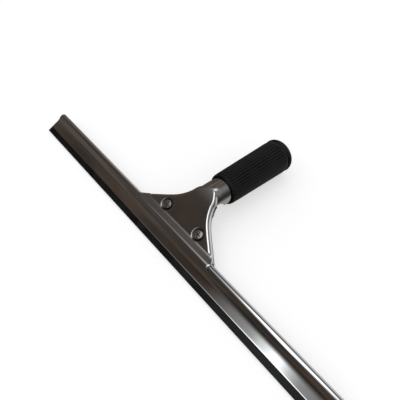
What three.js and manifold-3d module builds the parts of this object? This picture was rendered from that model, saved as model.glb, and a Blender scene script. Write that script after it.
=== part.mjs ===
// Window squeegee. A rubber blade is held in a folded stainless channel, and two screws clamp the
// channel's bead between the jaws of a pressed fan-shaped handle and of a plate behind it. The
// handle is one sheet: it is drawn up at the neck and rolled into the tube inside the grip.
//
// Everything is modelled in the channel's own frame: x along the channel, y from the blade towards
// the grip, z out of the front face, with the middle of the channel's bead at zero. The last lines
// lay the finished tool on its back on a table, with +z up.

import * as THREE from 'three';
import { mergeVertices } from 'three/addons/utils/BufferGeometryUtils.js';
import Module from 'manifold-3d';

const wasm = await Module();
wasm.setup();

// Channel
const channelLength = 350;
const channelSheet = 0.5;
const beadRadius = 3.4;
const webHalf = 1.6;
const throatRadius = 18;
const lipRadius = 6;
const lipSweep = THREE.MathUtils.degToRad(16);
const lipDepth = 13.9;

// Rubber blade and the two clips that hold it in the bead
const bladeOverhang = 1;
const bladeReach = 5.5;
const bladeGap = 0.2;
const bladeHeadRadius = 2.2;
const clipSheet = 0.3;
const clipLength = 14;
const clipInset = 0.6;
const clipMouth = THREE.MathUtils.degToRad(58);

// Fan and jaws
const plateSheet = 1.2;
const plateFace = 1.35;
const flankDepth = 5.75;
const rimRadius = 2.5;
const jawGap = 0.3;
const jawCrease = 6.5;
const jawRelief = 0.75;
const jawWrap = THREE.MathUtils.degToRad(126);
const creaseRadius = 1.8;
const fanHalfWidth = 45.8;
const fanShoulder = 2.8;
const fanNeckHalf = 12;
const fanNeckHeight = 36.5;
const tongueRise = 10.3;
const fanCurveShares = { wideX: 0.408, wideY: 0.501, narrowX: 0.169, narrowY: 0.58 };
const tongueCurveShares = { sideX: 0.93, sideY: 0.48, crownX: 0.59 };

// Clamp plate behind the fan, with its upper end bent away from the neck
const plateGap = 0.3;
const heelReach = 2.5;
const heelLength = 7;
const heelDrop = 2.4;
const heelSlope = THREE.MathUtils.degToRad(40);
const heelRadius = 2;

// Clamp screws and nuts
const screwSpacing = 39;
const screwHeight = 12.1;
const screwRadius = 2;
const screwTail = 0.7;
const screwHeadRadius = 3.6;
const screwHeadHeight = 1.9;
const screwHeadWall = 1.5;
const screwGap = 0.2;
const crossWidth = 4.2;
const crossThickness = 0.9;
const crossDepth = 1.1;
const dimpleRadius = 5.5;
const dimpleFloorRadius = 4.3;
const dimpleDepth = 1;
const nutAcrossFlats = 7;
const nutHeight = 2.2;
const seatGap = 0.15;

// Tube, and the round sweep in which the sheet's edge runs from the flank down across the neck
const handleTilt = THREE.MathUtils.degToRad(30.5);
const tubeRadius = 11.9;
const tubeWall = 1.1;
const tubeSetback = 10.9;
const tubeStart = -4;
const sweepSetback = 1.5;
const sweepRadius = 9.6;

// Grip
const gripStart = 31.3;
const gripLength = 76.4;
const gripGap = 0.3;
const gripFootRadius = 13.85;
const gripHeadRadius = 15.5;
const gripRibLength = 69;
const gripCollarRadius = 16;
const gripCollarRound = 3.8;
const gripCollarSweep = THREE.MathUtils.degToRad(45);
const gripFootBevel = 0.6;
const gripEndWall = 4;
const ribCount = 36;
const ribHeight = 0.4;

// Facets
const arcStep = THREE.MathUtils.degToRad(9);
const roundSides = 72;
const boltSides = 24;
const hexSides = 6;
const curveSteps = 28;
const bevelSteps = 6;
const overrun = 2;

const steel = { color: 0x9a948c, roughness: 0.22, metalness: 1 };
const springSteel = { color: 0xa6a39c, roughness: 0.3, metalness: 1 };
const bladeRubber = { color: 0x17181a, roughness: 0.75, metalness: 0 };
const gripRubber = { color: 0x222325, roughness: 0.8, metalness: 0 };

// Levels that several pieces share
const tongueHeight = fanNeckHeight + tongueRise;
const heelEnd = fanNeckHeight + heelReach;
const tubeCrossing = fanNeckHeight - tubeSetback;
const sweepHeight = fanNeckHeight - sweepSetback;
const flankEdge = plateFace - flankDepth;
const plateTop = flankEdge - plateGap;
const plateBack = plateTop - plateSheet;
const jawInner = beadRadius + jawGap;
const jawCrest = jawInner + plateSheet;
const jawFoot = -(lipDepth / 2);
const rimStart = jawInner + seatGap;
const gripEnd = gripStart + gripLength;
const tubeEnd = gripEnd - gripEndWall - gripGap;

const up = new THREE.Vector3(0, 0, 1);
const alongX = new THREE.Matrix4().makeBasis(
  new THREE.Vector3(0, 1, 0), new THREE.Vector3(0, 0, 1), new THREE.Vector3(1, 0, 0));

// Turn a closed geometry into a solid that can be cut and joined.
function toSolid(geometry) {
  const bare = geometry.clone();
  bare.deleteAttribute('normal');
  bare.deleteAttribute('uv');
  const merged = mergeVertices(bare);
  return new wasm.Manifold(new wasm.Mesh({
    numProp: 3,
    vertProperties: new Float32Array(merged.attributes.position.array),
    triVerts: new Uint32Array(merged.index.array),
  }));
}

function toGeometry(solid) {
  const mesh = solid.getMesh();
  const geometry = new THREE.BufferGeometry();
  geometry.setAttribute('position', new THREE.BufferAttribute(new Float32Array(mesh.vertProperties), 3));
  geometry.setIndex(new THREE.BufferAttribute(new Uint32Array(mesh.triVerts), 1));
  geometry.computeVertexNormals();
  return geometry;
}

// Points of an arc about a centre, from one angle to another, ends included.
function arc(centre, radius, from, to) {
  const steps = Math.max(1, Math.round(Math.abs(to - from) / arcStep));
  return Array.from({ length: steps + 1 }, (_, i) => {
    const angle = from + (to - from) * i / steps;
    return new THREE.Vector2(centre.x + radius * Math.cos(angle), centre.y + radius * Math.sin(angle));
  });
}

// A section of bent sheet, drawn as a press brake makes it: straights and bends follow each other.
// A bend's angle is positive to the left, its radius is that of the face, and the sheet's other
// side lies to the right of the face. Gives both sides, from the start to the end.
function bentSheet(start, heading, moves, sheet) {
  const face = [];
  const back = [];
  const at = start.clone();
  let angle = heading;
  const mark = () => {
    const right = new THREE.Vector2(Math.sin(angle), -Math.cos(angle));
    face.push(at.clone());
    back.push(at.clone().addScaledVector(right, sheet));
  };
  mark();
  for (const move of moves) {
    if (move.length !== undefined) {
      at.add(new THREE.Vector2(Math.cos(angle), Math.sin(angle)).multiplyScalar(move.length));
      mark();
      continue;
    }
    const steps = Math.max(1, Math.round(Math.abs(move.bend) / arcStep));
    const turn = move.bend / steps;
    const side = Math.sign(move.bend);
    const centre = at.clone().add(
      new THREE.Vector2(-Math.sin(angle), Math.cos(angle)).multiplyScalar(side * move.radius));
    for (let i = 0; i < steps; i += 1) {
      at.rotateAround(centre, turn);
      angle += turn;
      mark();
    }
  }
  return { face, back };
}

// A closed section (y, z), swept along x and centred on it.
function sweepX(points, length) {
  const geometry = new THREE.ExtrudeGeometry(new THREE.Shape(points), { depth: length, bevelEnabled: false });
  geometry.translate(0, 0, -length / 2);
  return toSolid(geometry.applyMatrix4(alongX));
}

// An outline (x, y), raised from one height to another.
function raise(points, low, high) {
  const geometry = new THREE.ExtrudeGeometry(new THREE.Shape(points), { depth: high - low, bevelEnabled: false });
  return toSolid(geometry.translate(0, 0, low));
}

// The same, with its upper edge rounded.
function raiseRounded(points, low, high, radius) {
  const geometry = new THREE.ExtrudeGeometry(new THREE.Shape(points), {
    depth: high - low,
    bevelEnabled: true,
    bevelThickness: radius,
    bevelSize: radius,
    bevelOffset: -radius,
    bevelSegments: bevelSteps,
  });
  return toSolid(geometry.translate(0, 0, low - radius)).intersect(slab(low, high));
}

// A box over the whole fan, from one height to another.
function slab(low, high) {
  return box([-fanHalfWidth, -fanHalfWidth, low], [fanHalfWidth, gripEnd, high]);
}

// A box from corner to corner.
function box(low, high) {
  const size = high.map((value, i) => value - low[i]);
  const geometry = new THREE.BoxGeometry(...size);
  return toSolid(geometry.translate(...high.map((value, i) => (value + low[i]) / 2)));
}

// A turned piece: a profile of radius and height about +z.
function turn(profile, sides) {
  return toSolid(new THREE.LatheGeometry(profile.map(([r, h]) => new THREE.Vector2(r, h)), sides)
    .rotateX(Math.PI / 2));
}

// A plain round bar about +z.
function bar(radius, low, high, sides) {
  return turn([[0, low], [radius, low], [radius, high], [0, high]], sides);
}

// Join rings of equal count into a closed skin, with a flat cap at each end.
function skin(rings) {
  const count = rings[0].length;
  const positions = rings.flat().flatMap((p) => [p.x, p.y, p.z]);
  const indices = [];
  for (let r = 0; r + 1 < rings.length; r += 1) {
    for (let i = 0; i < count; i += 1) {
      const a = r * count + i;
      const b = r * count + (i + 1) % count;
      indices.push(a, b, b + count, a, b + count, a + count);
    }
  }
  [0, rings.length - 1].forEach((r, end) => {
    const centre = rings[r].reduce((sum, p) => sum.add(p), new THREE.Vector3()).divideScalar(count);
    const hub = positions.length / 3;
    positions.push(centre.x, centre.y, centre.z);
    for (let i = 0; i < count; i += 1) {
      const a = r * count + i;
      const b = r * count + (i + 1) % count;
      indices.push(...(end === 0 ? [hub, b, a] : [hub, a, b]));
    }
  });
  const geometry = new THREE.BufferGeometry();
  geometry.setAttribute('position', new THREE.Float32BufferAttribute(positions, 3));
  geometry.setIndex(indices);
  return toSolid(geometry);
}

// Mirror image of half a section, without the point it starts on.
function mirrored(points) {
  return points.slice(1).reverse().map((p) => new THREE.Vector2(p.x, -p.y));
}

// Channel: a strip folded round the bead, drawn in to the web, with its lips turned out.
function buildChannel() {
  const wrap = Math.acos((webHalf + throatRadius) / (beadRadius + throatRadius));
  const webTop = (beadRadius + throatRadius) * Math.sin(wrap);
  const webLength = lipDepth - webTop - lipRadius * Math.sin(lipSweep);
  const { face, back } = bentSheet(new THREE.Vector2(beadRadius, 0), Math.PI / 2, [
    { bend: Math.PI / 2 + wrap, radius: beadRadius },
    { bend: -wrap, radius: throatRadius },
    { length: webLength },
    { bend: -lipSweep, radius: lipRadius },
  ], -channelSheet);
  return sweepX([...mirrored(face), ...face, ...[...back].reverse(), ...mirrored(back).reverse()], channelLength);
}

// Blade: a round head in the bead and a flat wiper that shows past the lips.
function buildBlade() {
  const half = webHalf - channelSheet - bladeGap;
  const neck = Math.asin(half / bladeHeadRadius);
  const edge = -(lipDepth + bladeReach);
  const head = arc(new THREE.Vector2(), bladeHeadRadius, neck - Math.PI, Math.PI - neck);
  const outline = [new THREE.Vector2(edge, -half), ...head, new THREE.Vector2(edge, half)];
  return sweepX(outline, channelLength + bladeOverhang * 2);
}

// Clip: a sprung collar over the blade's head, just inside the end of the bead.
function buildClip(side) {
  const inner = bladeHeadRadius + bladeGap;
  const from = clipMouth - Math.PI;
  const to = Math.PI - clipMouth;
  const outline = [
    ...arc(new THREE.Vector2(), inner + clipSheet, from, to),
    ...arc(new THREE.Vector2(), inner, to, from),
  ];
  const middle = channelLength / 2 - clipInset - clipLength / 2;
  return sweepX(outline, clipLength).translate([side * middle, 0, 0]);
}

// The fan's outline: jaw corners, concave sides, and a round tongue that ends on the neck.
// An inset above zero draws the sides in, and the foot is where the outline ends below.
function fanOutline(inset, foot) {
  const rise = fanNeckHeight - fanShoulder;
  const spread = fanHalfWidth - fanNeckHalf;
  const tongue = tongueHeight - fanNeckHeight;
  const side = new THREE.CubicBezierCurve(
    new THREE.Vector2(fanHalfWidth, fanShoulder),
    new THREE.Vector2(fanNeckHalf + spread * fanCurveShares.wideX, fanShoulder + rise * fanCurveShares.wideY),
    new THREE.Vector2(fanNeckHalf + spread * fanCurveShares.narrowX, fanShoulder + rise * fanCurveShares.narrowY),
    new THREE.Vector2(fanNeckHalf, fanNeckHeight));
  const crown = new THREE.CubicBezierCurve(
    new THREE.Vector2(fanNeckHalf, fanNeckHeight),
    new THREE.Vector2(fanNeckHalf * tongueCurveShares.sideX, fanNeckHeight + tongue * tongueCurveShares.sideY),
    new THREE.Vector2(fanNeckHalf * tongueCurveShares.crownX, tongueHeight),
    new THREE.Vector2(0, tongueHeight));
  const right = [side, crown].flatMap((curve, part) => {
    const steps = Array.from({ length: curveSteps + 1 - part }, (_, i) => (i + part) / curveSteps);
    return steps.map((t) => {
      const tangent = curve.getTangent(t);
      return curve.getPoint(t).add(new THREE.Vector2(-tangent.y, tangent.x).multiplyScalar(inset));
    });
  });
  const corner = new THREE.Vector2(fanHalfWidth - inset, foot);
  const left = [corner, ...right].slice(0, -1).reverse().map((p) => new THREE.Vector2(-p.x, p.y));
  return [corner, ...right, ...left];
}

// Bends of a jaw whose flat part lies a given height off the bead's middle: the crease, the slope
// to the bead, and the wrap round it. Also gives the slope's angle and what the crease takes off.
function jawBends(flat) {
  const reach = Math.hypot(jawCrease, flat);
  const touch = Math.atan2(flat, jawCrease) + Math.acos(jawInner / reach);
  const climb = Math.PI / 2 - touch;
  const creaseCut = creaseRadius * Math.tan(Math.abs(climb) / 2);
  const bends = [
    { bend: -climb, radius: creaseRadius },
    { length: Math.sqrt(reach ** 2 - jawInner ** 2) - creaseCut },
    { bend: jawWrap - touch, radius: jawInner },
  ];
  return { climb, creaseCut, bends };
}

function screwPlaces() {
  return [-1, 1].map((side) => new THREE.Vector3(side * screwSpacing / 2, screwHeight, 0));
}

// Front jaw and its cheeks: the fan's sheet leaves the flat at the crease and wraps the bead, and
// the flanks run up to it on both sides.
function frontJaw() {
  const { climb, creaseCut, bends } = jawBends(plateFace - plateSheet);
  const seam = new THREE.Vector2(jawCrease + creaseCut + plateSheet, plateFace - plateSheet);
  const { face, back } = bentSheet(seam, Math.PI, [{ length: plateSheet }, ...bends], plateSheet);
  const outerCrease = jawCrease + plateSheet * Math.tan(climb / 2);
  const cheek = sweepX([
    new THREE.Vector2(rimStart, flankEdge), new THREE.Vector2(outerCrease, flankEdge),
    new THREE.Vector2(outerCrease, plateFace),
    new THREE.Vector2(rimStart, plateFace + (outerCrease - rimStart) * Math.tan(climb)),
  ], fanHalfWidth * 2).subtract(raise(fanOutline(plateSheet, jawFoot), flankEdge - overrun, jawCrest));
  return sweepX([...face, ...back.reverse()], fanHalfWidth * 2).add(cheek)
    .intersect(raiseRounded(fanOutline(0, jawFoot), flankEdge, jawCrest, rimRadius));
}

// Point on the tube's axis at a distance from where it crosses the channel's plane.
function alongTube(distance) {
  return new THREE.Vector3(0, tubeCrossing + distance * Math.cos(handleTilt), -distance * Math.sin(handleTilt));
}

// Put a piece that was turned about +z on the tube's axis, its zero at a given distance.
function onTube(solid, distance) {
  return solid.rotate([-90 - THREE.MathUtils.radToDeg(handleTilt), 0, 0])
    .translate(alongTube(distance).toArray());
}

// The room behind the flanks' edge. It is deeper beside the rear jaw, and ends in the round sweep
// that cuts the neck's underside.
function undercut() {
  const sweep = arc(new THREE.Vector2(sweepHeight, flankEdge - sweepRadius), sweepRadius, Math.PI / 2, 0);
  return sweepX([
    new THREE.Vector2(-fanHalfWidth, flankEdge + jawRelief), new THREE.Vector2(jawCrease, flankEdge + jawRelief),
    new THREE.Vector2(jawCrease + jawRelief, flankEdge), ...sweep,
    new THREE.Vector2(sweepHeight + sweepRadius, -gripEnd), new THREE.Vector2(-fanHalfWidth, -gripEnd),
  ], (fanHalfWidth + overrun) * 2);
}

// Handle body: one pressed sheet with the front jaw, the fan with its deep flanks and screw dimples,
// the shoulder at the neck, and the tube.
function buildHandleBody() {
  const inFace = plateFace - plateSheet;
  const tray = raiseRounded(fanOutline(0, jawFoot), flankEdge, plateFace, rimRadius);
  const pocket = raiseRounded(
    fanOutline(plateSheet, jawFoot - overrun), flankEdge - overrun, inFace, rimRadius - plateSheet);
  const throat = raise(fanOutline(plateSheet, jawFoot - overrun), flankEdge - overrun, jawCrest)
    .intersect(box([-fanHalfWidth, jawFoot, -jawCrest - overrun], [fanHalfWidth, jawCrease, jawCrest]));
  const above = box([-fanHalfWidth, rimStart, -gripEnd], [fanHalfWidth, gripEnd, jawCrest]);
  const tube = onTube(bar(tubeRadius, 0, tubeEnd - tubeStart, roundSides), tubeStart);
  const bore = onTube(bar(tubeRadius - tubeWall, -overrun, tubeEnd - tubeStart + overrun, roundSides), tubeStart);
  let body = tray.add(tube.intersect(slab(-gripEnd, plateFace)))
    .subtract(pocket).subtract(bore.intersect(slab(-gripEnd, inFace)))
    .subtract(throat).intersect(above).add(frontJaw()).subtract(undercut());
  for (const place of screwPlaces()) {
    const floor = plateFace - dimpleDepth;
    const cup = turn([
      [0, floor - plateSheet], [dimpleFloorRadius, floor - plateSheet],
      [dimpleRadius, inFace], [dimpleRadius, plateFace], [0, plateFace],
    ], boltSides);
    const dish = turn([
      [0, floor], [dimpleFloorRadius, floor], [dimpleRadius, plateFace],
      [dimpleRadius, plateFace + overrun], [0, plateFace + overrun],
    ], boltSides);
    const hole = bar(screwRadius + screwGap, flankEdge, plateFace + overrun, boltSides);
    body = body.add(cup.translate(place.toArray()))
      .subtract(dish.translate(place.toArray())).subtract(hole.translate(place.toArray()));
  }
  return body;
}

// Clamp plate: a flat sheet behind the flanks with the rear jaw at its foot, and a heel that is bent
// away from the neck at its upper end. The section is drawn with its outer side up, then turned over.
function buildClampPlate() {
  const { creaseCut, bends } = jawBends(-plateTop);
  const slope = (heelDrop - heelRadius * (1 - Math.cos(heelSlope)) * 2) / Math.sin(heelSlope);
  const heelRun = heelRadius * Math.sin(heelSlope) * 2 + slope * Math.cos(heelSlope);
  const { face, back } = bentSheet(new THREE.Vector2(heelEnd, heelDrop - plateTop), Math.PI, [
    { length: heelLength },
    { bend: heelSlope, radius: heelRadius },
    { length: slope },
    { bend: -heelSlope, radius: heelRadius },
    { length: heelEnd - heelLength - heelRun - jawCrease - creaseCut },
    ...bends,
  ], plateSheet);
  let plate = sweepX([...face, ...back.reverse()], fanHalfWidth * 2).mirror([0, 0, 1])
    .intersect(raise(fanOutline(0, jawFoot), plateBack - heelDrop - overrun, plateFace));
  for (const place of screwPlaces()) {
    const hole = bar(screwRadius + screwGap, plateBack - overrun, plateTop + overrun, boltSides);
    plate = plate.subtract(hole.translate(place.toArray()));
  }
  return plate;
}

// Screw: a round head with a cross recess, on a plain shank through shell, nut and plate.
function buildScrew(place) {
  const seat = plateFace - dimpleDepth + seatGap;
  const top = seat + screwHeadHeight;
  const domeRise = screwHeadHeight - screwHeadWall;
  const domeRadius = (screwHeadRadius ** 2 + domeRise ** 2) / (2 * domeRise);
  const domeSweep = Math.asin(screwHeadRadius / domeRadius);
  const dome = arc(new THREE.Vector2(0, top - domeRadius), domeRadius, Math.PI / 2 - domeSweep, Math.PI / 2);
  const tail = plateBack - screwTail;
  const screw = turn([
    [0, tail], [screwRadius, tail], [screwRadius, seat], [screwHeadRadius, seat],
    ...dome.slice(0, -1).map((p) => [p.x, p.y]), [0, top],
  ], boltSides);
  const arm = (length, width) => box(
    [-length / 2, -width / 2, top - crossDepth], [length / 2, width / 2, top + overrun]);
  return screw.subtract(arm(crossWidth, crossThickness)).subtract(arm(crossThickness, crossWidth))
    .translate(place.toArray());
}

// Nut: a hexagon on the clamp plate, inside the fan.
function buildNut(place) {
  const low = plateTop + seatGap;
  const corner = nutAcrossFlats / 2 / Math.cos(Math.PI / hexSides);
  const hexagon = Array.from({ length: hexSides }, (_, i) => new THREE.Vector2(
    corner * Math.cos(Math.PI * 2 * i / hexSides), corner * Math.sin(Math.PI * 2 * i / hexSides)));
  return raise(hexagon, low, low + nutHeight)
    .subtract(bar(screwRadius + screwGap, low - overrun, low + nutHeight + overrun, boltSides))
    .translate(place.toArray());
}

// Grip: a ribbed sleeve that widens towards its free end, with a round collar and an open bore.
function buildGrip() {
  const collarCentre = new THREE.Vector2(gripCollarRadius - gripCollarRound, gripLength - gripCollarRound);
  const sleeve = turn([
    [0, 0], [gripFootRadius - gripFootBevel, 0], [gripFootRadius, gripFootBevel],
    [gripHeadRadius, gripRibLength],
    ...arc(collarCentre, gripCollarRound, -gripCollarSweep, Math.PI / 2).map((p) => [p.x, p.y]),
    [0, gripLength],
  ], roundSides);
  const tubeRoom = bar(tubeRadius + gripGap, -overrun, gripLength - gripEndWall, roundSides);
  const poleHole = bar(tubeRadius - tubeWall, -overrun, gripLength + overrun, roundSides);
  return onTube(sleeve.add(gripRibs()).subtract(tubeRoom).subtract(poleHole), gripStart);
}

// Ribs: fine flutes along the sleeve, from its foot to where the collar starts to swell.
function gripRibs() {
  const ring = (radius, height) => Array.from({ length: ribCount * 2 }, (_, i) => {
    const angle = Math.PI * i / ribCount;
    const r = radius + (i % 2 === 0 ? ribHeight : -ribHeight);
    return new THREE.Vector3(r * Math.cos(angle), r * Math.sin(angle), height);
  });
  return skin([ring(gripFootRadius, gripFootBevel * 2), ring(gripHeadRadius, gripRibLength)]);
}

const squeegee = new THREE.Group();

function addPiece(name, solid, finish) {
  const mesh = new THREE.Mesh(toGeometry(solid), new THREE.MeshStandardMaterial(finish));
  mesh.name = name;
  squeegee.add(mesh);
}

addPiece('channel', buildChannel(), steel);
addPiece('rubber_blade', buildBlade(), bladeRubber);
addPiece('handle_body', buildHandleBody(), steel);
addPiece('clamp_plate', buildClampPlate(), steel);
addPiece('grip', buildGrip(), gripRubber);
['left', 'right'].forEach((side, i) => {
  const place = screwPlaces()[i];
  addPiece(`blade_clip_${side}`, buildClip(Math.sign(place.x)), springSteel);
  addPiece(`clamp_screw_${side}`, buildScrew(place), springSteel);
  addPiece(`clamp_nut_${side}`, buildNut(place), springSteel);
});

// Lay the tool on its back: the blade's edge and the grip's collar both touch the table.
const collar = alongTube(gripEnd - gripCollarRound);
const bladeEdge = new THREE.Vector2(-(lipDepth + bladeReach), channelSheet + bladeGap - webHalf);
const reach = Math.hypot(collar.y - bladeEdge.x, collar.z - bladeEdge.y);
const fall = Math.atan2(bladeEdge.y - collar.z, collar.y - bladeEdge.x);
squeegee.rotateOnAxis(new THREE.Vector3(1, 0, 0), fall + Math.asin(gripCollarRadius / reach));
const extent = new THREE.Box3().setFromObject(squeegee, true);
const middle = extent.getCenter(new THREE.Vector3());
squeegee.position.set(-middle.x, -middle.y, 0).addScaledVector(up, -extent.min.z);

export default squeegee;
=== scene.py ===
"""Window squeegee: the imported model, dressed in polished steel and black rubber.

Every mesh is built in the tool's own frame, in millimetres: x along the channel, y from the
blade towards the grip, z out of the side that shows the screw heads. A Placing lays it on the
table, in metres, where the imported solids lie.
"""

import logging
import math
from contextlib import contextmanager
from dataclasses import dataclass
from enum import Enum, IntEnum
from typing import Any, Iterable, Iterator, Optional, Sequence, Union

import bmesh
import bpy
from mathutils import Matrix, Vector


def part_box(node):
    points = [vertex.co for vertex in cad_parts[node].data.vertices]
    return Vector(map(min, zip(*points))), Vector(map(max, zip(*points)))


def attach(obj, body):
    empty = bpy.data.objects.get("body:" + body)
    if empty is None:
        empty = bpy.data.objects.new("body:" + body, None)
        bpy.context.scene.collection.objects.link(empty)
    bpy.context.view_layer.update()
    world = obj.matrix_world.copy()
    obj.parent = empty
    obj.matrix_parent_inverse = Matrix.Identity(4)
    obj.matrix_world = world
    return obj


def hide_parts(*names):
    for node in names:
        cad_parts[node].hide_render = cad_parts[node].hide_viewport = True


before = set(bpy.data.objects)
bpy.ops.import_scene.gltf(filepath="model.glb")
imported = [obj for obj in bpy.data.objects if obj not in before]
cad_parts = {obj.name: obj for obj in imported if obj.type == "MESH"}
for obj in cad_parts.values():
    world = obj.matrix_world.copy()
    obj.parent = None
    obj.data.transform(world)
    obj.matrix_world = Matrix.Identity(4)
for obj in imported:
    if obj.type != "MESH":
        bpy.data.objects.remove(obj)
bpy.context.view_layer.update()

LOG = logging.getLogger("squeegee")
MM = 0.001
PACKED_WELD = 1e-6
FINEST_WELD = 1e-7
SMOOTHING = 0.5
EDGE_BEVEL = 0.12
BEVEL_STEPS = 2
SWEPT_STRETCHES = 24
PRESSED_SHARP = math.radians(60)
WHITE = (1.0, 1.0, 1.0, 1.0)
Point = tuple[float, float]
Span = tuple[float, float]
Triple = tuple[float, float, float]
Colour = tuple[float, float, float, float]
Inputs = dict[Union[str, int], Any]


class Body(Enum):
    """The bodies that pieces ride on."""

    HANDLE = "handle"
    CLAMP_PLATE = "clamp_plate"
    SCREW_LEFT = "screw_left"
    SCREW_RIGHT = "screw_right"
    CHANNEL = "channel"
    BLADE = "blade"


class Slot(Enum):
    """The record's material slots."""

    STEEL = "steel"
    FASTENER = "fastener_steel"
    BLADE_RUBBER = "blade_rubber"
    GRIP_RUBBER = "grip_rubber"


class Axis(IntEnum):
    """The axes of a place in the room."""

    X = 0
    Y = 1
    Z = 2


class Value:
    """A number output of a shader tree, whose arithmetic adds Math nodes."""

    def __init__(self, tree: "Tree", socket: bpy.types.NodeSocket) -> None:
        """Keep the tree and the socket."""
        self.tree = tree
        self.socket = socket

    def _math(self, operation: str, left: Any, right: Any) -> "Value":
        """Join two numbers or values by one Math node."""
        node = self.tree.node("ShaderNodeMath", {"operation": operation}, {0: left, 1: right})
        return Value(self.tree, node.outputs[0])

    def __add__(self, other: Any) -> "Value":
        """Sum."""
        return self._math("ADD", self, other)

    def __sub__(self, other: Any) -> "Value":
        """Difference."""
        return self._math("SUBTRACT", self, other)

    def __rsub__(self, other: Any) -> "Value":
        """Difference, the other way round."""
        return self._math("SUBTRACT", other, self)

    def __mul__(self, other: Any) -> "Value":
        """Product."""
        return self._math("MULTIPLY", self, other)

    def size(self) -> "Value":
        """Distance from zero."""
        return self._math("ABSOLUTE", self, 0.0)

    def between(self, low: Any, high: Any) -> "Value":
        """Rise smoothly from 0 at low to 1 at high."""
        node = self.tree.node(
            "ShaderNodeMapRange", {"interpolation_type": "SMOOTHSTEP"},
            {"Value": self, "From Min": low, "From Max": high})
        return Value(self.tree, node.outputs["Result"])


class Tree:
    """A shader tree that is built by one node method."""

    def __init__(self, tree: bpy.types.NodeTree) -> None:
        """Start from an empty tree."""
        self.tree = tree
        self.tree.nodes.clear()

    def node(self, kind: str, settings: Optional[dict[str, Any]] = None,
             inputs: Optional[Inputs] = None) -> bpy.types.Node:
        """Add a node.

        Args:
            kind: The node's type.
            settings: Its own settings, set first.
            inputs: A number, colour or link for each named or numbered input.

        Returns:
            The new node.
        """
        node = self.tree.nodes.new(kind)
        for key, setting in (settings or {}).items():
            setattr(node, key, setting)
        for key, given in (inputs or {}).items():
            if isinstance(given, Value):
                given = given.socket
            if isinstance(given, bpy.types.NodeSocket):
                self.tree.links.new(given, node.inputs[key])
            else:
                node.inputs[key].default_value = given
        return node

    def vector(self, operation: str, left: Any, right: Any = None) -> bpy.types.Node:
        """Add a Vector Math node, for one vector or for two."""
        inputs = {0: left} if right is None else {0: left, 1: right}
        return self.node("ShaderNodeVectorMath", {"operation": operation}, inputs)

    def place(self, scale: Triple = (1.0, 1.0, 1.0),
              turn: Triple = (0.0, 0.0, 0.0)) -> bpy.types.NodeSocket:
        """Give the object coordinates, turned and stretched.

        Args:
            scale: Factor along each axis.
            turn: Angles about each axis.

        Returns:
            The vector output.
        """
        coords = self.node("ShaderNodeTexCoord").outputs["Object"]
        mapping = self.node("ShaderNodeMapping", None,
                            {"Vector": coords, "Rotation": turn, "Scale": scale})
        return mapping.outputs["Vector"]

    def noise(self, where: bpy.types.NodeSocket, scale: float, detail: float = 2.0) -> Value:
        """Fractal noise from about 0 to 1."""
        node = self.node("ShaderNodeTexNoise", None,
                         {"Vector": where, "Scale": scale, "Detail": detail})
        return Value(self, node.outputs["Fac"])

    def colours(self, share: Value, low: Any, high: Any) -> bpy.types.NodeSocket:
        """Mix two colours by a value."""
        node = self.node("ShaderNodeMix", {"data_type": "RGBA"}, {0: share, 6: low, 7: high})
        return node.outputs[2]

    def seen(self) -> Value:
        """Tell what is looked at from what only gives light.

        Returns:
            1 for the rays of the camera, of reflections and of clear pieces, and 0 for others.
        """
        rays = self.node("ShaderNodeLightPath")
        camera, glossy, clear = (Value(self, rays.outputs[f"Is {kind} Ray"])
                                 for kind in ("Camera", "Glossy", "Transmission"))
        return camera + glossy + clear

    def surface(self, shader: bpy.types.Node, kind: str = "ShaderNodeOutputMaterial") -> None:
        """Show a shader."""
        self.node(kind, None, {"Surface": shader.outputs[0]})


def new_material(name: str) -> tuple[bpy.types.Material, Tree]:
    """Make a material and open its empty shader tree.

    Args:
        name: The material's name.

    Returns:
        The material and its tree.
    """
    material = bpy.data.materials.new(name)
    material.use_nodes = True
    return material, Tree(material.node_tree)


def linked(name: str, data: Any) -> bpy.types.Object:
    """Make an object and link it into the scene.

    Args:
        name: The object's name.
        data: Its mesh, lamp or camera.

    Returns:
        The object.
    """
    obj = bpy.data.objects.new(name, data)
    bpy.context.scene.collection.objects.link(obj)
    return obj


@contextmanager
def editing(mesh: bpy.types.Mesh) -> Iterator[bmesh.types.BMesh]:
    """Open a mesh for an edit, and write it back.

    Args:
        mesh: The mesh, which the edit changes.

    Yields:
        The open mesh.
    """
    bm = bmesh.new()
    bm.from_mesh(mesh)
    yield bm
    bm.to_mesh(mesh)
    bm.free()


@dataclass(frozen=True)
class PaintedShade:
    """Painted shade about the two screws: dark colour in the hollows about them, mirrored across
    x.
    """

    place: Vector
    axis: Vector
    reach: float
    fade: float
    depth: float = 0.0
    unshaded_share: float = 1 / 3
    strength: float = 0.93

    def share(self, tree: Tree) -> Value:
        """Say how much painted shade each place gets.

        Args:
            tree: The shader tree.

        Returns:
            A value from 0 to 1. With a depth, the painted shade fades out from there up to the
            unshaded share of that depth.
        """
        spot = tree.node("ShaderNodeSeparateXYZ", None, {0: tree.place()}).outputs
        mirrored = tree.node("ShaderNodeCombineXYZ", None, {
            0: Value(tree, spot[0]).size(), 1: spot[1], 2: spot[2]}).outputs[0]
        away = tree.vector("SUBTRACT", mirrored, self.place).outputs[0]
        cross = tree.vector("CROSS_PRODUCT", away, self.axis).outputs[0]
        radius = Value(tree, tree.vector("LENGTH", cross).outputs["Value"])
        # Painted shade: full inside the reach, gone beyond the fade.
        painted_shade = (1.0 - radius.between(self.reach, self.fade)) * self.strength
        if self.depth:
            height = Value(tree, tree.vector("DOT_PRODUCT", away, self.axis).outputs["Value"])
            painted_shade = painted_shade * (1.0 - height.between(-self.depth, -self.depth * self.unshaded_share))
        return painted_shade


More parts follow.
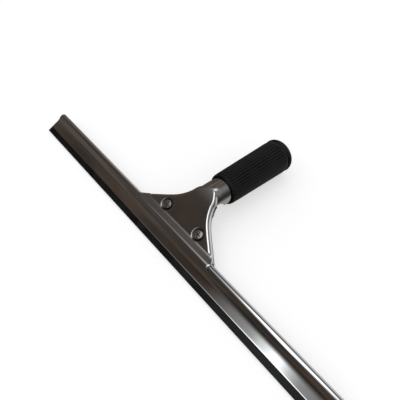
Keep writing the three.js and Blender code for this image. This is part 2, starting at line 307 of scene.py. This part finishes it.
@dataclass(frozen=True)
class SteelFinish:
    """Polished stainless sheet, with the soft waves of rolled metal, faint grain and smears, and
    where given, shade painted into the hollows about the screws.
    """

    name: str
    dark: Colour = (0.50, 0.49, 0.48, 1.0)
    light: Colour = (0.60, 0.595, 0.59, 1.0)
    # Colour of the shade painted into the hollows about the screws.
    painted_shade_colour: Colour = (0.09, 0.08, 0.075, 1.0)
    roughness: float = 0.06
    wave: float = 0.00006
    wave_scale: float = 40.0
    smear_scale: float = 60.0
    smear_span: Span = (0.35, 0.75)
    smear_colour: float = 0.6
    smear_roughness: float = 0.04
    grain: Triple = (12.0, 900.0, 900.0)
    grain_colour: float = 0.4
    grain_roughness: float = 0.01
    rubbed: Triple = (30.0, 120.0, 120.0)
    rubbed_turn: Triple = (0.3, 0.0, 0.5)
    rubbed_span: Span = (0.50, 0.80)
    rubbed_roughness: float = 0.02
    recess_roughness: float = 0.25
    screw_shade: Optional[PaintedShade] = None

    def make(self) -> bpy.types.Material:
        """Build the material.

        Returns:
            The finished material.
        """
        material, tree = new_material(self.name)
        where = tree.place()
        wave = tree.noise(where, self.wave_scale, detail=1.0)
        smear = tree.noise(where, self.smear_scale).between(*self.smear_span)
        grain = tree.noise(tree.place(self.grain), 1.0)
        rubbed = tree.noise(tree.place(self.rubbed, self.rubbed_turn), 1.0)
        roughness = smear * self.smear_roughness + grain * self.grain_roughness \
            + rubbed.between(*self.rubbed_span) * self.rubbed_roughness + self.roughness
        colour = tree.colours(smear * self.smear_colour + grain * self.grain_colour,
                              self.light, self.dark)
        # Painted shade about the screws: darker colour, and rougher there.
        if self.screw_shade:
            painted_shade = self.screw_shade.share(tree)
            colour = tree.colours(painted_shade, colour, self.painted_shade_colour)
            roughness = roughness + painted_shade * self.recess_roughness
        bump = tree.node("ShaderNodeBump", None,
                         {"Strength": 1.0, "Distance": self.wave, "Height": wave})
        tree.surface(tree.node("ShaderNodeBsdfPrincipled", None, {
            "Base Color": colour, "Metallic": 1.0, "Roughness": roughness,
            "Normal": bump.outputs["Normal"]}))
        return material


@dataclass(frozen=True)
class RubberFinish:
    """Black rubber with a matt skin, faint dust and a fine pitted surface."""

    name: str
    deep: Colour
    dusty: Colour
    roughness: float
    pit_scale: float
    shine: float
    dust_scale: float = 90.0
    dust_detail: float = 5.0
    dust_span: Span = (0.42, 0.72)
    dust_roughness: float = 0.12
    pit_detail: float = 3.0
    pit_strength: float = 0.35
    pit_depth: float = 0.0001
    pit_roughness: float = 0.08

    def make(self) -> bpy.types.Material:
        """Build the material.

        Returns:
            The finished material.
        """
        material, tree = new_material(self.name)
        where = tree.place()
        dust = tree.noise(where, self.dust_scale, self.dust_detail).between(*self.dust_span)
        pits = tree.noise(where, self.pit_scale, self.pit_detail)
        bump = tree.node("ShaderNodeBump", None, {
            "Strength": self.pit_strength, "Distance": self.pit_depth, "Height": pits})
        tree.surface(tree.node("ShaderNodeBsdfPrincipled", None, {
            "Base Color": tree.colours(dust, self.deep, self.dusty),
            "Roughness": dust * self.dust_roughness + pits * self.pit_roughness + self.roughness,
            "Specular IOR Level": self.shine, "Normal": bump.outputs["Normal"]}))
        return material


@dataclass(frozen=True)
class Placing:
    """How the tool lies on the table: turned about x and moved."""

    turn: float
    shift: Vector

    @classmethod
    def on_table(cls, edge: float, half: float, collar: Point, collar_radius: float) -> "Placing":
        """Work out how the tool lies on its blade's edge and its collar.

        Args:
            edge: Distance of the blade's wiping edge from the bead.
            half: Half of the blade's thickness.
            collar: Middle of the collar's round, as y and z.
            collar_radius: The collar's radius.

        Returns:
            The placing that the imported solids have.
        """
        far = math.hypot(collar[0] + edge, collar[1] + half)
        fall = math.atan2(-half - collar[1], collar[0] + edge)
        turn = fall + math.asin(collar_radius / far)
        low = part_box("rubber_blade")[0]
        rotation = Matrix.Rotation(turn, 4, "X")
        lower, upper = (rotation @ Vector((0.0, -edge, z)) for z in (-half, half))
        return cls(turn, Vector((0.0, low[1] - upper.y * MM, low[2] - lower.z * MM)))

    def matrix(self) -> Matrix:
        """Give the matrix from the tool's frame to the table."""
        turned = Matrix.Translation(self.shift) @ Matrix.Rotation(self.turn, 4, "X")
        return turned @ Matrix.Scale(MM, 4)


@dataclass(frozen=True)
class Move:
    """One step of a bent strip: a straight, or a bend of the face's radius."""

    length: float = 0.0
    bend: float = 0.0
    radius: float = 0.0


def arc(centre: Point, radius: float, start: float, end: float, steps: int) -> list[Point]:
    """Give the points of an arc, ends included."""
    angles = [start + (end - start) * i / steps for i in range(steps + 1)]
    return [(centre[0] + radius * math.cos(a), centre[1] + radius * math.sin(a)) for a in angles]


def bent_strip(start: Point, heading: float, moves: Iterable[Move], sheet: float,
               step: float) -> tuple[list[Point], list[Point]]:
    """Draw the section of a bent strip.

    Args:
        start: First point of the face.
        heading: Direction of the first straight.
        moves: Straights and bends, bends positive to the left.
        sheet: Thickness, to the right of the face. A negative one lies to the left.
        step: About the angle between two points of a bend.

    Returns:
        The face and the other side, both from the start.
    """
    at, angle = Vector(start), heading
    face: list[Point] = []
    back: list[Point] = []

    def mark() -> None:
        """Write down both sides here."""
        face.append((at.x, at.y))
        back.append((at.x + math.sin(angle) * sheet, at.y - math.cos(angle) * sheet))

    mark()
    for move in moves:
        if not move.bend:
            at = at + Vector((math.cos(angle), math.sin(angle))) * move.length
            mark()
            continue
        side = math.copysign(1.0, move.bend)
        centre = at + Vector((-math.sin(angle), math.cos(angle))) * side * move.radius
        count = max(1, round(abs(move.bend) / step))
        for _ in range(count):
            at = centre + Matrix.Rotation(move.bend / count, 2) @ (at - centre)
            angle += move.bend / count
            mark()
    return face, back


def sweep(section: Sequence[Point], length: float) -> bpy.types.Mesh:
    """Sweep a closed section (y, z) along x.

    Args:
        section: The section's points.
        length: The length, half of it to each side.

    Returns:
        A closed mesh in the tool's frame.
    """
    count = len(section)
    points = [(length * (i / SWEPT_STRETCHES - 0.5), y, z)
              for i in range(SWEPT_STRETCHES + 1) for y, z in section]
    faces = []
    for i in range(SWEPT_STRETCHES):
        here, there = i * count, (i + 1) * count
        faces.extend((here + k, here + (k + 1) % count, there + (k + 1) % count, there + k)
                     for k in range(count))
    faces.append(tuple(range(count)))
    faces.append(tuple(SWEPT_STRETCHES * count + k for k in range(count)))
    mesh = bpy.data.meshes.new("swept")
    mesh.from_pydata(points, [], faces)
    outward(mesh)
    return mesh


def outward(mesh: bpy.types.Mesh, weld: float = FINEST_WELD) -> None:
    """Merge doubles and turn every face outwards.

    Args:
        mesh: The mesh, which is changed.
        weld: Points that are nearer than this become one.
    """
    with editing(mesh) as bm:
        bmesh.ops.remove_doubles(bm, verts=bm.verts, dist=weld)
        bmesh.ops.recalc_face_normals(bm, faces=bm.faces)


def evaluated(obj: bpy.types.Object) -> bpy.types.Mesh:
    """Turn an object with its modifiers into a plain mesh.

    Args:
        obj: The object, which is removed.

    Returns:
        The mesh with the modifiers applied.
    """
    depsgraph = bpy.context.evaluated_depsgraph_get()
    mesh = bpy.data.meshes.new_from_object(obj.evaluated_get(depsgraph))
    bpy.data.objects.remove(obj)
    return mesh


def softened(node: str, voxel: float, rounds: int) -> bpy.types.Mesh:
    """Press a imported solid's edges and creases round.

    Args:
        node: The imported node.
        voxel: Size of the new facets, in millimetres.
        rounds: How many times the surface is smoothed.

    Returns:
        A closed mesh, in place on the table.
    """
    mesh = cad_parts[node].data.copy()
    mesh.materials.clear()
    with editing(mesh) as bm:
        bmesh.ops.remove_doubles(bm, verts=bm.verts, dist=PACKED_WELD)
    obj = linked("pressed", mesh)
    remesh = obj.modifiers.new("facets", "REMESH")
    remesh.mode = "VOXEL"
    remesh.voxel_size = voxel * MM
    smooth = obj.modifiers.new("rounding", "SMOOTH")
    smooth.factor = SMOOTHING
    smooth.iterations = rounds
    return evaluated(obj)


@dataclass
class Piece:
    """A finished piece of the tool."""

    name: str
    mesh: bpy.types.Mesh
    finish: bpy.types.Material
    body: Body
    slot: Slot
    stands_for: str
    sharp: float = math.radians(38)
    bevel: float = 0.0

    def hand_over(self) -> None:
        """Make the object, dress it and tie it to its body."""
        self.mesh.name = self.name
        self.mesh.materials.clear()
        self.mesh.materials.append(self.finish)
        self.mesh.shade_smooth()
        self.mesh.set_sharp_from_angle(angle=self.sharp)
        obj = linked(self.name, self.mesh)
        if self.bevel:
            edge = obj.modifiers.new("edges", "BEVEL")
            edge.width = self.bevel * MM
            edge.segments = BEVEL_STEPS
            edge.limit_method = "ANGLE"
            edge.angle_limit = self.sharp
            edge.harden_normals = True
        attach(obj, self.body.value)
        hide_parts(self.stands_for)
        LOG.info("%s: %d faces on %s", self.name, len(self.mesh.polygons), self.body.value)


@dataclass
class Channel:
    """The folded stainless channel."""

    placing: Placing
    finish: bpy.types.Material
    length: float = 350.0
    sheet: float = 0.5
    bead: float = 3.4
    web: float = 1.6
    throat: float = 18.0
    lip_radius: float = 3.5
    lip_sweep: float = math.radians(16)
    lip: float = 13.9
    step: float = math.radians(4)

    def section(self) -> list[Point]:
        """Draw the strip's section.

        Returns:
            Both halves, each with bead, throat, web and lip, and the sheet's other side.
        """
        wrap = math.acos((self.web + self.throat) / (self.bead + self.throat))
        web_top = (self.bead + self.throat) * math.sin(wrap)
        straight = self.lip - web_top - self.lip_radius * math.sin(self.lip_sweep)
        face, back = bent_strip((self.bead, 0.0), math.pi / 2, [
            Move(bend=math.pi / 2 + wrap, radius=self.bead),
            Move(bend=-wrap, radius=self.throat),
            Move(length=straight),
            Move(bend=-self.lip_sweep, radius=self.lip_radius),
        ], -self.sheet, self.step)
        lower = [(y, -z) for y, z in face[:0:-1]]
        lower_back = [(y, -z) for y, z in back[1:]]
        return [*lower, *face, *back[::-1], *lower_back]

    def build(self) -> None:
        """Make the channel."""
        mesh = sweep(self.section(), self.length)
        mesh.transform(self.placing.matrix())
        Piece("channel_strip", mesh, self.finish, Body.CHANNEL, Slot.STEEL, "channel",
              bevel=EDGE_BEVEL).hand_over()


@dataclass
class Blade:
    """The rubber blade."""

    placing: Placing
    finish: bpy.types.Material
    length: float = 352.0
    half: float = 0.9
    edge: float = 19.4
    head: float = 2.2
    head_steps: int = 40

    def build(self) -> None:
        """Make the blade with its round head and its square wiping edge."""
        neck = math.asin(self.half / self.head)
        head = arc((0.0, 0.0), self.head, neck - math.pi, math.pi - neck, self.head_steps)
        mesh = sweep([(-self.edge, -self.half), *head, (-self.edge, self.half)], self.length)
        mesh.transform(self.placing.matrix())
        Piece("wiper_rubber", mesh, self.finish, Body.BLADE, Slot.BLADE_RUBBER, "rubber_blade",
              bevel=EDGE_BEVEL).hand_over()


@dataclass
class Handle:
    """The pressed shell with its tube, and the plate that clamps from behind."""

    placing: Placing
    steel: bpy.types.Material
    # The plate's steel is painted dark for the shade in the gap beside the neck.
    plate_steel: bpy.types.Material
    shell_voxel: float = 0.49
    plate_voxel: float = 0.50
    rounds: int = 6
    hollow: float = 4.8
    hollow_width: float = 1.5
    hollow_depth: float = 0.45
    shoulder: float = 46.8
    shoulder_drop: float = 0.45
    shoulder_to_fan: float = 12.0
    shoulder_to_tube: float = 4.5
    shoulder_foot: float = -6.0

    def drop(self, y: float, z: float) -> float:
        """Say how far the front is pressed in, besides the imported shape.

        Args:
            y: Place from the blade towards the grip.
            z: Height in the tool's frame.

        Returns:
            A shallow hollow along the jaw's slope, and the soft round of the shoulder where the
            fan rolls over into the tube.
        """
        hollow = 0.0
        if z > 0.0:
            beside = (y - self.hollow) / self.hollow_width
            hollow = self.hollow_depth * math.exp(-beside ** 2)
        run = self.shoulder_to_tube if y > self.shoulder else self.shoulder_to_fan
        bend = max(0.0, 1.0 - abs(y - self.shoulder) / run)
        share = min(1.0, max(0.0, 1.0 - z / self.shoulder_foot))
        return hollow + self.shoulder_drop * bend ** 2 * share

    def press(self, mesh: bpy.types.Mesh) -> None:
        """Press the front in.

        Args:
            mesh: The shell on the table, which is changed.
        """
        matrix = self.placing.matrix()
        away = matrix.inverted()
        inward = matrix.to_3x3() @ Vector((0.0, 0.0, -1.0))
        for vertex in mesh.vertices:
            _, y, z = away @ vertex.co
            vertex.co += inward * self.drop(y, z)

    def build(self) -> None:
        """Make both pressings."""
        shell = softened("handle_body", self.shell_voxel, self.rounds)
        self.press(shell)
        Piece("pressed_handle", shell, self.steel, Body.HANDLE, Slot.STEEL, "handle_body",
              PRESSED_SHARP).hand_over()
        plate = softened("clamp_plate", self.plate_voxel, self.rounds)
        Piece("pressed_clamp_plate", plate, self.plate_steel, Body.CLAMP_PLATE, Slot.STEEL,
              "clamp_plate", PRESSED_SHARP).hand_over()


@dataclass
class Fasteners:
    """The two clamp screws, their nuts and the blade's clips."""

    finish: bpy.types.Material
    head_top: Triple = (19.5, 12.1, 2.33)
    voxel: float = 0.12
    rounds: int = 2

    @classmethod
    def screw_shade(cls, placing: Placing) -> tuple[PaintedShade, PaintedShade]:
        """Say where shade is painted about the screws.

        Args:
            placing: How the tool lies on the table.

        Returns:
            The painted shade in the dimples, and the painted shade in the cross recesses.
        """
        table = placing.matrix()
        axis = table.to_3x3() @ Vector((0.0, 0.0, 1.0 / MM))
        head = table @ Vector(cls.head_top)
        dimple = PaintedShade(head, axis, reach=0.0048, fade=0.0064)
        recess = PaintedShade(head, axis, reach=0.0026, fade=0.0032, depth=0.0006, strength=0.9)
        return dimple, recess

    def build(self) -> None:
        """Make the screws, and dress the nuts and the clips."""
        for side, body in (("left", Body.SCREW_LEFT), ("right", Body.SCREW_RIGHT)):
            node = f"clamp_screw_{side}"
            Piece(f"pan_head_screw_{side}", softened(node, self.voxel, self.rounds), self.finish,
                  body, Slot.FASTENER, node, PRESSED_SHARP).hand_over()
            for kept in (f"clamp_nut_{side}", f"blade_clip_{side}"):
                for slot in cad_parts[kept].material_slots:
                    slot.material = self.finish


@dataclass
class Grip:
    """The ribbed rubber sleeve with its round collar."""

    placing: Placing
    finish: bpy.types.Material
    tilt: float = math.radians(30.5)
    crossing: float = 25.6
    start: float = 31.3
    length: float = 76.4
    foot: float = 13.85
    head: float = 15.5
    rib_end: float = 69.0
    collar: float = 16.0
    collar_round: float = 3.8
    collar_sweep: float = math.radians(45)
    collar_steps: int = 16
    edge_round: float = 0.8
    edge_steps: int = 5
    end_wall: float = 4.0
    tube_room: float = 12.2
    bore: float = 10.8
    ribs: int = 36
    rib_height: float = 0.4
    rib_ramp: float = 2.4
    rib_samples: int = 10
    rings: int = 50
    weld: float = 0.01
    fine_weld: float = 0.0001
    sharp: float = math.radians(50)

    @classmethod
    def collar_centre(cls) -> Point:
        """Give the middle of the collar's round, as y and z of the tool's frame."""
        along = cls.start + cls.length - cls.collar_round
        return cls.crossing + along * math.cos(cls.tilt), -along * math.sin(cls.tilt)

    def ribbed_wall(self) -> list[Triple]:
        """Draw the wall between foot and collar.

        Returns:
            Radius, height and share of the rib's height at each ring.
        """
        wall = []
        for i in range(1, self.rings + 1):
            share = i / self.rings
            height = self.edge_round + (self.rib_end - self.edge_round) * share
            to_end = min(height - self.edge_round, self.rib_end - height)
            rise = max(0.0, min(1.0, to_end / self.rib_ramp))
            radius = self.foot + (self.head - self.foot) * share
            wall.append((radius, height, math.sin(rise * math.pi / 2)))
        return wall

    def profile(self) -> list[Triple]:
        """Draw the sleeve's whole wall.

        Returns:
            Radius, height and share of the rib's height at each point.
        """
        edge, quarter = self.edge_round, math.pi / 2
        foot = arc((self.foot - edge, edge), edge, -quarter, 0.0, self.edge_steps)
        collar = arc((self.collar - self.collar_round, self.length - self.collar_round),
                     self.collar_round, -self.collar_sweep, quarter, self.collar_steps)
        mouth = arc((self.bore + edge, self.length - edge), edge, quarter, math.pi,
                    self.edge_steps)
        shelf = self.length - self.end_wall
        inside = [(self.bore, shelf), (self.tube_room, shelf), (self.tube_room, 0.0)]
        return [*((r, h, 0.0) for r, h in foot), *self.ribbed_wall(),
                *((r, h, 0.0) for r, h in (*collar, *mouth, *inside))]

    def sector(self) -> bpy.types.Mesh:
        """Make the part of the sleeve that carries one rib.

        Returns:
            An open mesh, drawn along z, that spans one rib's share of the round.
        """
        profile = self.profile()
        pitch = math.tau / self.ribs
        points = []
        for k in range(self.rib_samples + 1):
            share = k / self.rib_samples
            swell = 1.0 - 2.0 * (1.0 - math.sin(math.pi * share)) ** 2
            for r, h, rib in profile:
                radius = r + swell * rib * self.rib_height
                points.append((radius * math.cos(pitch * share),
                               radius * math.sin(pitch * share), h))
        count = len(profile)
        faces = []
        for k in range(self.rib_samples):
            here, there = k * count, (k + 1) * count
            faces.extend((here + i, here + (i + 1) % count, there + (i + 1) % count, there + i)
                         for i in range(count))
        mesh = bpy.data.meshes.new("rib_sector")
        mesh.from_pydata(points, [], faces)
        return mesh

    @staticmethod
    def ring_tree() -> bpy.types.NodeTree:
        """Build the node tree that sets the sector round the axis and welds it.

        Returns:
            The tree, with the sector, the rib count, the weld's distance and the finish as
            inputs.
        """
        tree = bpy.data.node_groups.new("ring_of_ribs", "GeometryNodeTree")
        for name, kind in (("Sector", "NodeSocketGeometry"), ("Rib Count", "NodeSocketInt"),
                           ("Weld Distance", "NodeSocketFloat"),
                           ("Finish", "NodeSocketMaterial")):
            tree.interface.new_socket(name=name, in_out="INPUT", socket_type=kind)
        tree.interface.new_socket(name="Sleeve", in_out="OUTPUT",
                                  socket_type="NodeSocketGeometry")
        make, link = tree.nodes.new, tree.links.new
        given, result = make("NodeGroupInput"), make("NodeGroupOutput")
        points, index = make("GeometryNodePoints"), make("GeometryNodeInputIndex")
        share, angle = make("ShaderNodeMath"), make("ShaderNodeMath")
        share.operation, angle.operation = "DIVIDE", "MULTIPLY"
        angle.inputs[1].default_value = math.tau
        euler, turn = make("ShaderNodeCombineXYZ"), make("FunctionNodeEulerToRotation")
        copies, real = make("GeometryNodeInstanceOnPoints"), make("GeometryNodeRealizeInstances")
        weld, dress = make("GeometryNodeMergeByDistance"), make("GeometryNodeSetMaterial")
        link(given.outputs["Rib Count"], points.inputs["Count"])
        link(index.outputs[0], share.inputs[0])
        link(given.outputs["Rib Count"], share.inputs[1])
        link(share.outputs[0], angle.inputs[0])
        link(angle.outputs[0], euler.inputs["Z"])
        link(euler.outputs[0], turn.inputs[0])
        link(points.outputs[0], copies.inputs["Points"])
        link(given.outputs["Sector"], copies.inputs["Instance"])
        link(turn.outputs[0], copies.inputs["Rotation"])
        link(copies.outputs[0], real.inputs[0])
        link(real.outputs[0], weld.inputs["Geometry"])
        link(given.outputs["Weld Distance"], weld.inputs["Distance"])
        link(weld.outputs[0], dress.inputs["Geometry"])
        link(given.outputs["Finish"], dress.inputs["Material"])
        link(dress.outputs[0], result.inputs[0])
        return tree

    def axis(self) -> Matrix:
        """Give the matrix that lays the sleeve, drawn along z, on the tube's axis."""
        c, s = math.cos(self.tilt), math.sin(self.tilt)
        return Matrix(((1, 0, 0, 0),
                       (0, -s, c, self.crossing + self.start * c),
                       (0, -c, -s, -self.start * s),
                       (0, 0, 0, 1)))

    def build(self) -> None:
        """Make the grip."""
        obj = linked("rib_sector", self.sector())
        ring = obj.modifiers.new("ring", "NODES")
        ring.node_group = self.ring_tree()
        inputs = {item.name: item.identifier for item in ring.node_group.interface.items_tree
                  if item.in_out == "INPUT"}
        ring[inputs["Rib Count"]] = self.ribs
        ring[inputs["Weld Distance"]] = self.weld
        ring[inputs["Finish"]] = self.finish
        mesh = evaluated(obj)
        outward(mesh, self.fine_weld)
        mesh.transform(self.placing.matrix() @ self.axis())
        outward(mesh)
        Piece("ribbed_grip", mesh, self.finish, Body.HANDLE, Slot.GRIP_RUBBER, "grip",
              self.sharp).hand_over()


@dataclass(frozen=True)
class Ramp:
    """A soft change of the room's light along one axis.

    The light rises from nothing at low to all of it at high. With a fall, that share of it is
    gone at high instead.
    """

    axis: Axis
    low: float
    high: float
    fall: float = 0.0

    def left(self, place: Sequence[Value]) -> Value:
        """Say which share of the light is left at a place."""
        rise = place[self.axis].between(self.low, self.high)
        return 1.0 - rise * self.fall if self.fall else rise


@dataclass(frozen=True)
class Patch:
    """A soft patch of light on the room's wall."""

    strength: float
    ramps: tuple[Ramp, ...]

    def light(self, place: Sequence[Value]) -> Value:
        """Say how bright the patch is at a place.

        Args:
            place: The direction from the tool, as three values.

        Returns:
            The strength of its light.
        """
        light = self.ramps[0].left(place)
        for ramp in self.ramps[1:]:
            light = light * ramp.left(place)
        return light * self.strength


@dataclass(frozen=True)
class Window:
    """The long window overhead: a bright pane with a soft halo, narrower at its near end."""

    colour: Colour = (0.93, 0.975, 1.0, 1.0)
    middle: float = -0.04
    bend: Patch = Patch(0.14, (Ramp(Axis.Y, 0.0, 0.75),))
    half: float = 0.045
    widening: Patch = Patch(0.11, (Ramp(Axis.Y, -0.58, -0.10),))
    pane: float = 1.7
    pane_edge: Span = (-0.045, 0.03)
    halo: float = 0.42
    halo_edge: float = 0.2
    near_end: Ramp = Ramp(Axis.Y, -0.88, -0.58)
    far_end: Ramp = Ramp(Axis.Y, 0.18, 0.58, 1.0)
    foot: Ramp = Ramp(Axis.Z, 0.2, 0.4)

    def light(self, place: Sequence[Value]) -> Value:
        """Say how bright the window is at a place.

        Args:
            place: The direction from the tool, as three values.

        Returns:
            The strength of its light.
        """
        beside = (place[Axis.X] - (self.bend.light(place) + self.middle)).size()
        half = self.widening.light(place) + self.half
        inner, outer = (half + edge for edge in self.pane_edge)
        pane = (1.0 - beside.between(inner, outer)) * self.pane
        halo = (1.0 - beside.between(half, half + self.halo_edge)) * self.halo
        near = self.near_end.left(place)
        return (pane + halo) * near * near * self.far_end.left(place) * self.foot.left(place)


@dataclass(frozen=True)
class Haze:
    """A tinted haze on the room's walls: clouds over an even base."""

    colour: Colour
    clouds: float
    base: float


@dataclass(frozen=True)
class Room:
    """The room about the tool, which only the steel's reflections show."""

    size: float = 40.0
    segments: int = 48
    rings: int = 24
    window: Window = Window()
    wall_colour: Colour = (0.94, 0.97, 1.0, 1.0)
    walls: tuple[Patch, ...] = (
        # Low down beyond the grip.
        Patch(0.75, (Ramp(Axis.Y, 0.58, 0.90), Ramp(Axis.Z, 0.34, 0.60, 1.0))),
        # High up beyond the grip.
        Patch(0.04, (Ramp(Axis.Y, 0.2, 0.5), Ramp(Axis.Z, 0.1, 0.7))),
        # High up to the right.
        Patch(0.13, (Ramp(Axis.X, 0.06, 0.25), Ramp(Axis.Z, 0.3, 0.7))),
        # To the left, on the blade's side.
        Patch(0.035, (Ramp(Axis.X, -0.60, -0.30, 1.0), Ramp(Axis.Y, -0.75, -0.50, 1.0))),
        # High up to the left, on the grip's side.
        Patch(0.09, (Ramp(Axis.X, -0.64, -0.50, 1.0), Ramp(Axis.Y, 0.1, 0.5),
                     Ramp(Axis.Z, 0.36, 0.52))),
        # From below, on the grip's side.
        Patch(0.36, (Ramp(Axis.Z, -0.60, -0.12, 1.0), Ramp(Axis.X, -0.70, 0.10),
                     Ramp(Axis.Y, -0.2, 0.5))),
        # A band right overhead.
        Patch(0.40, (Ramp(Axis.X, -0.62, -0.25), Ramp(Axis.Y, -0.44, -0.16),
                     Ramp(Axis.Y, 0.10, 0.32, 0.9), Ramp(Axis.Z, 0.3, 0.7))),
    )
    brown: Haze = Haze((1.0, 0.72, 0.56, 1.0), 0.08, 0.028)
    brown_wall: Patch = Patch(0.05, (Ramp(Axis.X, -0.80, -0.60, 1.0),))
    green: Haze = Haze((0.88, 0.92, 0.88, 1.0), 0.06, 0.008)
    cloud_scale: float = 5.0
    cloud_detail: float = 3.0
    cloud_span: Span = (0.30, 0.72)
    tint_scale: float = 3.2
    tint_detail: float = 1.0
    tint_span: Span = (0.40, 0.60)

    def lights(self, tree: Tree) -> list[tuple[Colour, Value]]:
        """Describe the room's lights.

        Args:
            tree: The shader tree of the room.

        Returns:
            The colour and the strength of each light.
        """
        where = tree.vector("NORMALIZE", tree.place()).outputs[0]
        axes = tree.node("ShaderNodeSeparateXYZ", None, {0: where})
        place = [Value(tree, axis) for axis in axes.outputs]
        clouds = tree.noise(where, self.cloud_scale, self.cloud_detail).between(*self.cloud_span)
        tint = tree.noise(where, self.tint_scale, self.tint_detail).between(*self.tint_span)
        walls = self.walls[0].light(place)
        for patch in self.walls[1:]:
            walls = walls + patch.light(place)
        brown = clouds * tint * self.brown.clouds + self.brown_wall.light(place) + self.brown.base
        green = clouds * (1.0 - tint) * self.green.clouds + self.green.base
        return [(self.brown.colour, brown), (self.green.colour, green),
                (self.wall_colour, walls), (self.window.colour, self.window.light(place))]

    def build(self) -> None:
        """Set up the room."""
        mesh = bpy.data.meshes.new("studio_room")
        with editing(mesh) as bm:
            bmesh.ops.create_uvsphere(bm, u_segments=self.segments, v_segments=self.rings,
                                      radius=self.size)
        obj = linked("studio_room", mesh)
        for rays in ("camera", "diffuse", "transmission", "volume_scatter", "shadow"):
            setattr(obj, f"visible_{rays}", False)
        material, tree = new_material("room_light")
        total = None
        for colour, strength in self.lights(tree):
            shine = tree.node("ShaderNodeEmission", None, {"Color": colour, "Strength": strength})
            total = shine if total is None else tree.node(
                "ShaderNodeAddShader", None, {0: total.outputs[0], 1: shine.outputs[0]})
        tree.surface(total)
        mesh.materials.append(material)


@dataclass(frozen=True)
class Stage:
    """The camera, the pale floor, the reflected room and the lamps."""

    lens: float = 34.2
    sensor: float = 36.0
    clip: float = 0.01
    spot: Triple = (0.13217, -0.16441, 0.26778)
    right: Triple = (0.66, 0.7488, 0.0611)
    up: Triple = (-0.6156, 0.4924, 0.6153)
    back: Triple = (0.4307, -0.4437, 0.7859)
    floor_size: float = 3.0
    floor_colour: Colour = (0.5, 0.5, 0.5, 1.0)
    floor_lift: float = 0.53
    sky: float = 0.88
    seen_sky: float = 0.12
    lamp: float = 0.4
    lamp_spread: float = math.radians(50)
    lamp_turn: Triple = (math.radians(25), math.radians(-30), 0.0)

    def camera(self) -> None:
        """Stand the camera where the photograph was taken from."""
        data = bpy.data.cameras.new("camera")
        data.sensor_width = self.sensor
        data.lens = self.lens
        data.clip_start = self.clip
        obj = linked("camera", data)
        columns = (Vector(self.right), Vector(self.up), Vector(self.back))
        turned = Matrix(columns).transposed().to_4x4()
        obj.matrix_world = Matrix.Translation(self.spot) @ turned
        bpy.context.scene.camera = obj

    def floor(self) -> None:
        """Lay the white floor, which keeps the tool's shadow."""
        mesh = bpy.data.meshes.new("floor")
        half = self.floor_size / 2
        corners = [(-half, -half, 0), (half, -half, 0), (half, half, 0), (-half, half, 0)]
        mesh.from_pydata(corners, [], [(0, 1, 2, 3)])
        obj = linked("floor", mesh)
        material, tree = new_material("white_floor")
        cloth = tree.node("ShaderNodeBsdfDiffuse", None, {"Color": self.floor_colour})
        lift = tree.node("ShaderNodeEmission", None,
                         {"Color": WHITE, "Strength": tree.seen() * self.floor_lift})
        tree.surface(tree.node("ShaderNodeAddShader", None,
                               {0: cloth.outputs[0], 1: lift.outputs[0]}))
        mesh.materials.append(material)
        obj.visible_glossy = False

    def light(self) -> None:
        """Set the white world and one soft lamp over the tool."""
        world = bpy.data.worlds.new("white_world")
        bpy.context.scene.world = world
        world.use_nodes = True
        tree = Tree(world.node_tree)
        strength = tree.seen() * self.seen_sky + self.sky
        tree.surface(tree.node("ShaderNodeBackground", None,
                               {"Color": WHITE, "Strength": strength}), "ShaderNodeOutputWorld")
        lamp = bpy.data.lights.new("soft_lamp", "SUN")
        lamp.energy = self.lamp
        lamp.angle = self.lamp_spread
        obj = linked("soft_lamp", lamp)
        obj.rotation_euler = self.lamp_turn
        obj.visible_glossy = False

    def build(self) -> None:
        """Set up the whole stage."""
        self.camera()
        self.floor()
        Room().build()
        self.light()
        bpy.context.scene.view_settings.view_transform = "Standard"


def main() -> None:
    """Build the stage and the tool, piece by piece."""
    logging.basicConfig(level=logging.INFO, format="%(name)s: %(message)s")
    Stage().build()
    lie = Placing.on_table(Blade.edge, Blade.half, Grip.collar_centre(), Grip.collar)
    # Shade painted into the screws' dimples and cross recesses.
    dimple, recess = Fasteners.screw_shade(lie)
    strip = SteelFinish("polished_strip").make()
    pressed = SteelFinish("pressed_steel", roughness=0.07, wave=0.00008, screw_shade=dimple).make()
    # Duller, rougher steel for the clamp plate, its colour darkened to paint the shade in the gap
    # beside the neck.
    plain = SteelFinish("plate_steel_painted_shade", dark=(0.16, 0.155, 0.15, 1.0),
                        light=(0.26, 0.255, 0.25, 1.0), roughness=0.3, wave=0.00008).make()
    fastener = SteelFinish("screw_steel", roughness=0.16, wave=0.00002, wave_scale=300.0,
                           screw_shade=recess).make()
    wiper_black = RubberFinish("wiper_black", deep=(0.002, 0.002, 0.0025, 1.0),
                               dusty=(0.006, 0.006, 0.007, 1.0), roughness=0.28,
                               pit_scale=900.0, shine=0.4).make()
    grip_black = RubberFinish("grip_black", deep=(0.002, 0.002, 0.002, 1.0),
                              dusty=(0.006, 0.006, 0.006, 1.0), roughness=0.46,
                              pit_scale=1400.0, shine=0.36).make()
    Channel(lie, strip).build()
    Blade(lie, wiper_black).build()
    Handle(lie, pressed, plain).build()
    Fasteners(fastener).build()
    Grip(lie, grip_black).build()


if __name__ == "__main__":
    main()
